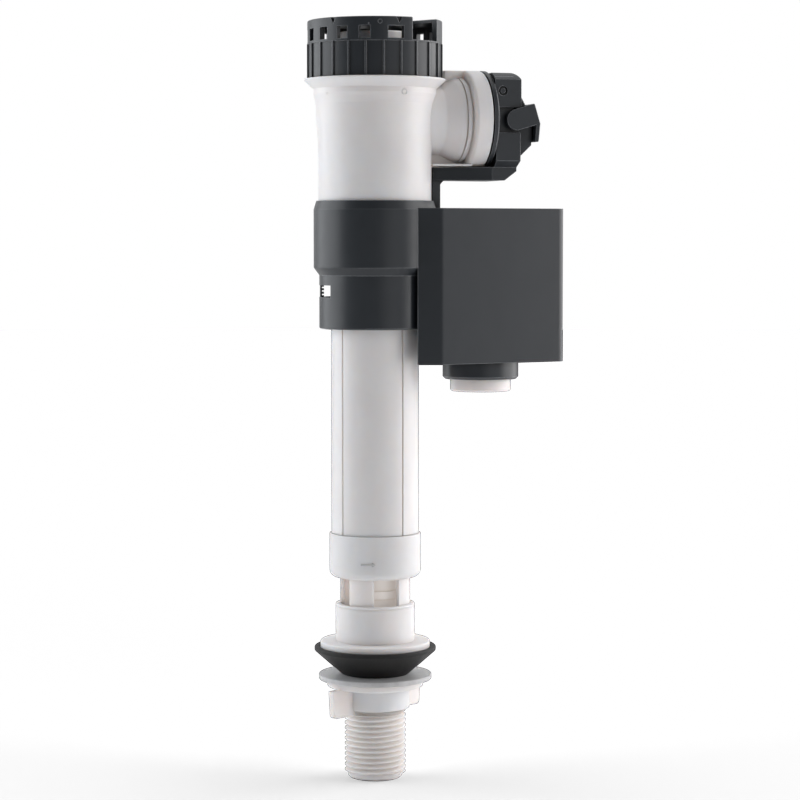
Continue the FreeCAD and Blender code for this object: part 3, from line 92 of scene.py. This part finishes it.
def object_space(tree, stretch=(1, 1, 1)):
    """Object coordinates, stretched for grain that runs along an axis."""
    place = tree.nodes.new("ShaderNodeTexCoord")
    mapping = tree.nodes.new("ShaderNodeMapping")
    mapping.inputs["Scale"].default_value = stretch
    tree.links.new(place.outputs["Object"], mapping.inputs["Vector"])
    return mapping.outputs["Vector"]


def noise(tree, vector, feature, detail=3.0, roughness=0.55):
    """Noise whose features are about this many metres across."""
    node = tree.nodes.new("ShaderNodeTexNoise")
    node.inputs["Scale"].default_value = 1 / feature
    node.inputs["Detail"].default_value = detail
    node.inputs["Roughness"].default_value = roughness
    tree.links.new(vector, node.inputs["Vector"])
    return node.outputs["Fac"]


def spread(tree, value, from_low, from_high, to_low, to_high):
    """Map a range of values on to another, clamped."""
    node = tree.nodes.new("ShaderNodeMapRange")
    for name, number in (("From Min", from_low), ("From Max", from_high),
                         ("To Min", to_low), ("To Max", to_high)):
        node.inputs[name].default_value = number
    tree.links.new(value, node.inputs["Value"])
    return node.outputs["Result"]


def blend_colours(tree, factor, first, second):
    """Mix two colours, or a colour and a socket, by a factor socket."""
    node = tree.nodes.new("ShaderNodeMix")
    node.data_type = "RGBA"
    tree.links.new(factor, node.inputs["Factor"])
    for value, socket in ((first, node.inputs[6]), (second, node.inputs[7])):
        if isinstance(value, tuple):
            socket.default_value = value + (1,)
        else:
            tree.links.new(value, socket)
    return node.outputs[2]


def edge_normal(tree, radius):
    """Normal with every edge eased to a small moulding radius."""
    node = tree.nodes.new("ShaderNodeBevel")
    node.samples = BEVEL_SAMPLES
    node.inputs["Radius"].default_value = radius
    return node.outputs["Normal"]


def bump(tree, height, strength, distance, normal):
    """Relief laid over a normal."""
    node = tree.nodes.new("ShaderNodeBump")
    node.inputs["Strength"].default_value = strength
    node.inputs["Distance"].default_value = distance
    tree.links.new(height, node.inputs["Height"])
    tree.links.new(normal, node.inputs["Normal"])
    return node.outputs["Normal"]


def edge_mask(tree, eased):
    """0 on the flats, rising to 1 where the eased normal leaves the surface's own."""
    geometry = tree.nodes.new("ShaderNodeNewGeometry")
    dot = tree.nodes.new("ShaderNodeVectorMath")
    dot.operation = "DOT_PRODUCT"
    tree.links.new(eased, dot.inputs[0])
    tree.links.new(geometry.outputs["Normal"], dot.inputs[1])
    return spread(tree, dot.outputs["Value"], *EDGE_RANGE, 0, 1)


def openness(tree, reach):
    """1 on open skin, falling to 0 in corners, gaps and recesses about this deep."""
    node = tree.nodes.new("ShaderNodeAmbientOcclusion")
    node.samples = OPENNESS_SAMPLES
    node.inputs["Distance"].default_value = reach
    return spread(tree, node.outputs["AO"], *OPEN_RANGE, 0, 1)


def product(tree, first, second):
    """One socket times another."""
    node = tree.nodes.new("ShaderNodeMath")
    node.operation = "MULTIPLY"
    tree.links.new(first, node.inputs[0])
    tree.links.new(second, node.inputs[1])
    return node.outputs["Value"]


# ---- materials ----

# Texture of the moulded plastics
MOTTLE_SIZE = 14 * MM
SHEEN_SIZE = 5 * MM
FLOW_LINE_SIZE = 1.1 * MM
GRAIN_SIZE = 0.28 * MM
FLOW_STRETCH = (1, 1, 0.12)
GRAIN_STRENGTH = 0.5
FLOW_STRENGTH = 0.35
FLOW_DEPTH_SHARE = 2
SMOOTHER = 0.025
ROUGHER = 0.03
# Reach of the painted shade in corners, gaps and recesses, and of the mask that keeps the
# painted edge highlight out of them
PAINTED_SHADE_REACH = 2.2 * MM

# Texture of the rubber
DUST_SIZE = 1.5 * MM
PORE_SIZE = 0.35 * MM
PORE_DEPTH = 0.02 * MM
PORE_STRENGTH = 0.5
RUBBER_EDGE = 0.3 * MM
RUBBER_ROUGHNESS = (0.5, 0.68)
RUBBER_SHINE = 0.35

# Texture of the milky plastic
CLOUD_SIZE = 4 * MM
RIPPLE_SIZE = 0.5 * MM
RIPPLE_DEPTH = 0.01 * MM
RIPPLE_STRENGTH = 0.4
MILKY_EDGE = 0.2 * MM
MILKY_ROUGHNESS = (0.28, 0.42)
MILKY_CLARITY = 0.45
MILKY_IOR = 1.5

# Stretches of a noise's values that are spread over a whole blend or roughness
MIDDLE = (0.35, 0.65)
WIDE = (0.3, 0.7)
UPPER = (0.45, 0.75)


def moulded(name, base, tint, rub_and_painted_highlight_colour, painted_shade, rub_and_painted_highlight_share, roughness, grain_depth, edge):
    """Injection-moulded plastic: fine grain, slow mottling, flow lines and softened edges, with
    painted shade in corners and gaps, and lighter edges that are partly rubbed wear and partly a
    painted highlight.
    """
    material, tree, shader = new_tree(name)
    even = object_space(tree)
    flow = object_space(tree, FLOW_STRETCH)
    mottle = noise(tree, even, MOTTLE_SIZE, 4)
    grain = noise(tree, even, GRAIN_SIZE, 2)
    lines = noise(tree, flow, FLOW_LINE_SIZE)
    eased = edge_normal(tree, edge)
    colour = blend_colours(tree, spread(tree, mottle, *MIDDLE, 0, 1), base, tint)
    # Painted shade: where ambient occlusion finds corners, gaps and recesses, the colour turns
    # to the darker shade colour
    clear = openness(tree, PAINTED_SHADE_REACH)
    colour = blend_colours(tree, clear, painted_shade, colour)
    # Painted highlight, partly rubbed wear: edges turn towards the lighter edge colour, kept out
    # of closed corners
    rub_and_painted_highlight = product(tree, spread(tree, edge_mask(tree, eased), 0, 1, 0, rub_and_painted_highlight_share), clear)
    colour = blend_colours(tree, rub_and_painted_highlight, colour, rub_and_painted_highlight_colour)
    tree.links.new(colour, shader.inputs["Base Color"])
    sheen = noise(tree, even, SHEEN_SIZE, 5)
    tree.links.new(spread(tree, sheen, *WIDE, roughness - SMOOTHER, roughness + ROUGHER),
                   shader.inputs["Roughness"])
    fine = bump(tree, grain, GRAIN_STRENGTH, grain_depth, eased)
    relief = bump(tree, lines, FLOW_STRENGTH, grain_depth * FLOW_DEPTH_SHARE, fine)
    tree.links.new(relief, shader.inputs["Normal"])
    return material


def painted_glow(material, tint, strength):
    """Painted glow: an even emission that stands in for daylight carried into the cage by the
    pale moulding all round it.
    """
    shader = material.node_tree.nodes["Principled BSDF"]
    shader.inputs["Emission Color"].default_value = tint + (1,)
    shader.inputs["Emission Strength"].default_value = strength
    return material


def glow_through(material, weight, depth, tint):
    """Let light travel a few millimetres inside a pale moulding, as it does in polypropylene."""
    shader = material.node_tree.nodes["Principled BSDF"]
    shader.inputs["Subsurface Weight"].default_value = weight
    shader.inputs["Subsurface Scale"].default_value = depth
    shader.inputs["Subsurface Radius"].default_value = tint
    return material


def rubber(name):
    """Soft black rubber with a matt, slightly dusty skin."""
    material, tree, shader = new_tree(name)
    even = object_space(tree)
    dust = noise(tree, even, DUST_SIZE, 6, 0.7)
    colour = blend_colours(tree, spread(tree, dust, *UPPER, 0, 1),
                           (0.007, 0.0068, 0.0068), (0.020, 0.019, 0.0185))
    tree.links.new(colour, shader.inputs["Base Color"])
    tree.links.new(spread(tree, dust, *WIDE, *RUBBER_ROUGHNESS), shader.inputs["Roughness"])
    shader.inputs["Specular IOR Level"].default_value = RUBBER_SHINE
    eased = edge_normal(tree, RUBBER_EDGE)
    pores = noise(tree, even, PORE_SIZE)
    tree.links.new(bump(tree, pores, PORE_STRENGTH, PORE_DEPTH, eased), shader.inputs["Normal"])
    return material


def translucent(name):
    """Milky low-friction plastic that lets some light through."""
    material, tree, shader = new_tree(name)
    even = object_space(tree)
    cloud = noise(tree, even, CLOUD_SIZE, 4)
    colour = blend_colours(tree, spread(tree, cloud, *MIDDLE, 0, 1),
                           (0.74, 0.74, 0.75), (0.88, 0.88, 0.89))
    tree.links.new(colour, shader.inputs["Base Color"])
    tree.links.new(spread(tree, cloud, *WIDE, *MILKY_ROUGHNESS), shader.inputs["Roughness"])
    shader.inputs["Transmission Weight"].default_value = MILKY_CLARITY
    shader.inputs["IOR"].default_value = MILKY_IOR
    ripple = noise(tree, even, RIPPLE_SIZE, 2)
    eased = edge_normal(tree, MILKY_EDGE)
    tree.links.new(bump(tree, ripple, RIPPLE_STRENGTH, RIPPLE_DEPTH, eased),
                   shader.inputs["Normal"])
    return material


# Each shade colour below is painted shade in corners, gaps and recesses
FINISHES = {
    # Edge colours are partly rubbed wear and partly painted highlight
    "white_plastic": glow_through(
        moulded("white moulding",
                base=(0.83, 0.80, 0.80), tint=(0.80, 0.765, 0.765),
                rub_and_painted_highlight_colour=(0.93, 0.915, 0.915), painted_shade=(0.765, 0.725, 0.70), rub_and_painted_highlight_share=0.7,
                roughness=0.36, grain_depth=0.008 * MM, edge=0.25 * MM),
        weight=0.6, depth=4 * MM, tint=(1.0, 0.8, 0.65)),
    # The dark moulding's much lighter edge colour is mostly a painted highlight
    "dark_plastic": moulded(
        "dark moulding",
        base=(0.0165, 0.0203, 0.0255), tint=(0.0185, 0.0225, 0.0280),
        rub_and_painted_highlight_colour=(0.27, 0.28, 0.30), painted_shade=(0.004, 0.0045, 0.0055), rub_and_painted_highlight_share=0.9,
        roughness=0.36, grain_depth=0.012 * MM, edge=0.34 * MM),
    "black_rubber": rubber("black rubber"),
    "clear_plastic": translucent("milky plastic"),
}
# The pipe in the cage: a copy of the white moulding with a warmer, deeper painted shade in its
# corners and a painted glow
INNER_PIPE = painted_glow(
    moulded("white moulding in the cage",
            base=(0.84, 0.80, 0.77), tint=(0.80, 0.755, 0.72),
            rub_and_painted_highlight_colour=(0.93, 0.915, 0.90), painted_shade=(0.62, 0.54, 0.45), rub_and_painted_highlight_share=0.7,
            roughness=0.36, grain_depth=0.008 * MM, edge=0.25 * MM),
    tint=(1.0, 0.92, 0.85), strength=0.15)
# Painted shade on the unlock arrow: a raised arrow of the white moulding, coloured grey to stand
# in for the shade that makes it look darker than the ring round it
ARROW_PAINTED_SHADE = moulded(
    "grey arrow with painted shade",
    base=(0.56, 0.545, 0.545), tint=(0.52, 0.505, 0.505),
    rub_and_painted_highlight_colour=(0.62, 0.61, 0.61), painted_shade=(0.40, 0.39, 0.38), rub_and_painted_highlight_share=0.5,
    roughness=0.45, grain_depth=0.01 * MM, edge=0.1 * MM)


def dress_nodes():
    """Give every CAD node the finish of its own slot, and the pipe in the cage its own look: a
    warmer painted shade and a painted glow.
    """
    for node in nodes.values():
        for place in node.material_slots:
            place.material = FINISHES[place.material.name]
    nodes["lower_riser"].material_slots[0].material = INNER_PIPE


# ---- small moulding marks ----

MARK_HEIGHT = 0.16 * MM
MARK_SINK = 0.05 * MM
RING_SIDES = 28
TUBE_SIDES = 8

# Rings of the pip's dome: share of its radius and share of the mark's height
PIP_RINGS = ((0.45, 0.85), (0.8, 0.45), (1.0, -MARK_SINK / MARK_HEIGHT))

ARROW_SHAFT_STEPS = 6
ARROW_HEAD_STEPS = 4
ARROW_HEAD_LENGTH_SHARE = 1.6
ARROW_TIP_HALF = 0.02 * MM

# Where the rays that look for one node's skin start: outside the column, and above the base
SIDE_RAY_R = 0.06
TOP_RAY_Z = 0.1


def wrap_on(node_name, azimuth, height):
    """Turns (round, up, out) about a spot on a node's outer skin into a place in the frame."""
    angle = math.radians(azimuth)
    outward = Vector((math.cos(angle), math.sin(angle), 0))
    start = outward * SIDE_RAY_R + Vector((0, 0, height))
    hit, skin, _, _ = nodes[node_name].ray_cast(start, -outward)
    if not hit:
        raise ValueError("no skin of %s at %s degrees" % (node_name, azimuth))
    radius = skin.xy.length

    def place(round_by, up_by, out_by):
        turn = angle + round_by / radius
        reach = radius + out_by
        return Vector((math.cos(turn) * reach, math.sin(turn) * reach, height + up_by))
    return place


def lay_on(node_name, x, y):
    """Turns (along, across, out) about a spot on a node's top face into a place in the frame."""
    hit, skin, _, _ = nodes[node_name].ray_cast(Vector((x, y, TOP_RAY_Z)), Vector((0, 0, -1)))
    if not hit:
        raise ValueError("no top face of %s at %s, %s" % (node_name, x, y))
    return lambda along, across, out: skin + Vector((along, across, out))


def join_loops(form, loop, after):
    """Quads from one closed loop of points to the next."""
    for step in range(len(loop)):
        turn = (step + 1) % len(loop)
        form.faces.new((loop[step], loop[turn], after[turn], after[step]))


def finish_piece(name, form, body, slot, look=None):
    """Make the form a piece that rides a body, in its slot's finish unless a look is given."""
    mesh = bpy.data.meshes.new(name)
    bmesh.ops.recalc_face_normals(form, faces=form.faces)
    form.to_mesh(mesh)
    form.free()
    mesh.shade_smooth()
    mesh.materials.append(look or FINISHES[slot])
    piece = bpy.data.objects.new(name, mesh)
    bpy.context.scene.collection.objects.link(piece)
    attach(piece, body)


def ring_mark(name, place, radius, thickness, body, slot):
    """Low raised ring, such as an ejector pin leaves."""
    form = bmesh.new()
    loops = []
    for side in range(RING_SIDES):
        about = math.tau * side / RING_SIDES
        loop = []
        for step in range(TUBE_SIDES):
            across = math.tau * step / TUBE_SIDES
            reach = radius + thickness * math.cos(across)
            out = MARK_HEIGHT * math.sin(across) - MARK_SINK
            spot = place(reach * math.cos(about), reach * math.sin(about), out)
            loop.append(form.verts.new(spot))
        loops.append(loop)
    for side, loop in enumerate(loops):
        join_loops(form, loop, loops[(side + 1) % RING_SIDES])
    finish_piece(name, form, body, slot)


def pip_mark(name, place, radius, body, slot):
    """Small domed pip."""
    form = bmesh.new()
    crown = form.verts.new(place(0, 0, MARK_HEIGHT))
    rings = []
    for share, lift in PIP_RINGS:
        ring = []
        for side in range(RING_SIDES):
            about = math.tau * side / RING_SIDES
            spot = place(radius * share * math.cos(about), radius * share * math.sin(about),
                         MARK_HEIGHT * lift)
            ring.append(form.verts.new(spot))
        rings.append(ring)
    for side in range(RING_SIDES):
        turn = (side + 1) % RING_SIDES
        form.faces.new((crown, rings[0][side], rings[0][turn]))
        for inner, outer in zip(rings, rings[1:]):
            form.faces.new((inner[side], outer[side], outer[turn], inner[turn]))
    form.faces.new(list(reversed(rings[-1])))
    finish_piece(name, form, body, slot)


def arrow_mark(name, place, length, shaft, head, body, slot):
    """Raised arrow wrapped round the skin, pointing the way the ring turns to unlock."""
    form = bmesh.new()
    head_length = head * ARROW_HEAD_LENGTH_SHARE
    neck = length - head_length
    stations = [(neck * step / ARROW_SHAFT_STEPS, shaft)
                for step in range(ARROW_SHAFT_STEPS + 1)]
    stations += [(neck + head_length * step / ARROW_HEAD_STEPS,
                  head * (1 - step / ARROW_HEAD_STEPS))
                 for step in range(ARROW_HEAD_STEPS + 1)]
    loops = []
    for along, half in stations:
        half = max(half, ARROW_TIP_HALF)
        loops.append([form.verts.new(place(along - length / 2, side * half, out))
                      for side, out in ((-1, -MARK_SINK), (-1, MARK_HEIGHT),
                                        (1, MARK_HEIGHT), (1, -MARK_SINK))])
    for loop, after in zip(loops, loops[1:]):
        join_loops(form, loop, after)
    form.faces.new(loops[0])
    form.faces.new(loops[-1])
    # The arrow takes the grey look, whose colour is painted shade
    finish_piece(name, form, body, slot, ARROW_PAINTED_SHADE)


def add_marks():
    """Ejector rings, gate pips and the unlock arrow, on the side that the camera sees."""
    ring_mark("ejector_ring", wrap_on("valve_body", azimuth=-78, height=199.2 * MM),
              radius=0.95 * MM, thickness=0.16 * MM, body="column", slot="white_plastic")
    pip_mark("gate_pip", wrap_on("valve_body", azimuth=-157, height=199.0 * MM),
             radius=0.35 * MM, body="column", slot="white_plastic")
    ring_mark("cap_ring_mark", wrap_on("vent_cap", azimuth=-102, height=222.2 * MM),
              radius=0.7 * MM, thickness=0.14 * MM, body="cap", slot="dark_plastic")
    pip_mark("cap_pip", wrap_on("vent_cap", azimuth=-111.5, height=221.6 * MM),
             radius=0.3 * MM, body="cap", slot="dark_plastic")
    arrow_mark("unlock_arrow", wrap_on("lock_ring", azimuth=-115, height=39.6 * MM),
               length=5.0 * MM, shaft=0.26 * MM, head=0.75 * MM,
               body="lock_ring", slot="white_plastic")
    pip_mark("flange_pip", lay_on("threaded_base", x=9.8 * MM, y=-11.1 * MM),
             radius=0.4 * MM, body="base", slot="white_plastic")


# ---- studio ----

AIM_HEIGHT = 0.09

# Light that reaches the object from the room, and from the white wall behind it
ROOM_LIGHT = 0.18
WALL_LIGHT = 0.80
ROOM_TINT = (0.98, 0.99, 1.0, 1)

# How nearly a ray runs with the view: the room's edge of the wall first, then the wall itself
WALL_RANGE = (0.35, 0.85)

FLOOR_R = 4.0
FLOOR_SIDES = 96
PAPER_PATCH_SIZE = 90 * MM
PAPER_ROUGHNESS = 0.9


def softbox(name, azimuth, height, distance, size, radiance, tint):
    """Rectangular light, placed round the column by its angle from the view."""
    light = bpy.data.lights.new(name, "AREA")
    light.shape = "RECTANGLE"
    light.size, light.size_y = size
    light.energy = radiance * math.pi * size[0] * size[1]
    light.color = tint
    lamp = bpy.data.objects.new(name, light)
    angle = VIEW_AZIMUTH + math.radians(azimuth)
    lamp.location = Vector((math.sin(angle) * distance, -math.cos(angle) * distance, height))
    aim = Vector((0, 0, AIM_HEIGHT)) - lamp.location
    lamp.rotation_euler = aim.to_track_quat("-Z", "Y").to_euler()
    bpy.context.scene.collection.objects.link(lamp)


def light_studio():
    """A large softbox at each side, a weak fill right of the lens and one overhead."""
    softbox("softbox_left", azimuth=-99, height=0.22, distance=0.75, size=(0.9, 1.1),
            radiance=2.3, tint=(0.95, 0.975, 1.0))
    softbox("softbox_right", azimuth=102, height=0.22, distance=0.75, size=(0.95, 1.1),
            radiance=2.85, tint=(1.0, 0.985, 0.98))
    softbox("softbox_fill", azimuth=35, height=0.25, distance=0.9, size=(0.55, 1.0),
            radiance=0.56, tint=(1.0, 0.985, 0.975))
    softbox("softbox_top", azimuth=180, height=1.0, distance=0.25, size=(0.9, 0.9),
            radiance=1.0, tint=(1.0, 1.0, 1.0))
    paint_room()


def paint_room():
    """Dim room with a bright wall behind the object. The lens itself sees white paper."""
    world = bpy.data.worlds.new("studio")
    world.use_nodes = True
    tree = world.node_tree
    tree.nodes.clear()
    output = tree.nodes.new("ShaderNodeOutputWorld")
    mix = tree.nodes.new("ShaderNodeMixShader")
    path = tree.nodes.new("ShaderNodeLightPath")
    room = tree.nodes.new("ShaderNodeBackground")
    paper = tree.nodes.new("ShaderNodeBackground")
    place = tree.nodes.new("ShaderNodeTexCoord")
    depth = tree.nodes.new("ShaderNodeVectorMath")
    depth.operation = "DOT_PRODUCT"
    depth.inputs[1].default_value = VIEW_FORWARD
    tree.links.new(place.outputs["Generated"], depth.inputs[0])
    strength = spread(tree, depth.outputs["Value"], *WALL_RANGE, ROOM_LIGHT, WALL_LIGHT)
    tree.links.new(strength, room.inputs["Strength"])
    room.inputs["Color"].default_value = ROOM_TINT
    paper.inputs["Color"].default_value = (1, 1, 1, 1)
    tree.links.new(path.outputs["Is Camera Ray"], mix.inputs["Fac"])
    tree.links.new(room.outputs["Background"], mix.inputs[1])
    tree.links.new(paper.outputs["Background"], mix.inputs[2])
    tree.links.new(mix.outputs["Shader"], output.inputs["Surface"])
    bpy.context.scene.world = world


def lay_floor():
    """Wide pale disc that the shank's foot stands on."""
    mesh = bpy.data.meshes.new("floor")
    form = bmesh.new()
    bmesh.ops.create_circle(form, cap_ends=True, segments=FLOOR_SIDES, radius=FLOOR_R)
    form.to_mesh(mesh)
    form.free()
    floor = bpy.data.objects.new("floor", mesh)
    floor.location.z = cad_box[0].z
    floor.is_shadow_catcher = True
    bpy.context.scene.collection.objects.link(floor)
    material, tree, shader = new_tree("studio paper")
    paper = noise(tree, object_space(tree), PAPER_PATCH_SIZE)
    tree.links.new(blend_colours(tree, paper, (0.93, 0.93, 0.93), (0.95, 0.95, 0.95)),
                   shader.inputs["Base Color"])
    shader.inputs["Roughness"].default_value = PAPER_ROUGHNESS
    mesh.materials.append(material)


def place_camera():
    """The photo's viewpoint."""
    camera = bpy.data.objects.new("camera", bpy.data.cameras.new("camera"))
    camera.data.lens = LENS_MM
    camera.data.sensor_width = SENSOR_MM
    camera.data.clip_start = CLIP_NEAR
    camera.data.clip_end = CLIP_FAR
    camera.location = VIEW_RIGHT * CAMERA_SIDE - VIEW_FORWARD * CAMERA_DISTANCE
    camera.location.z = CAMERA_HEIGHT
    look = VIEW_FORWARD * math.cos(CAMERA_PITCH) - Vector((0, 0, math.sin(CAMERA_PITCH)))
    camera.rotation_euler = look.to_track_quat("-Z", "Y").to_euler()
    bpy.context.scene.collection.objects.link(camera)
    bpy.context.scene.camera = camera


dress_nodes()
add_marks()
lay_floor()
light_studio()
place_camera()
bpy.context.scene.view_settings.view_transform = "Standard"
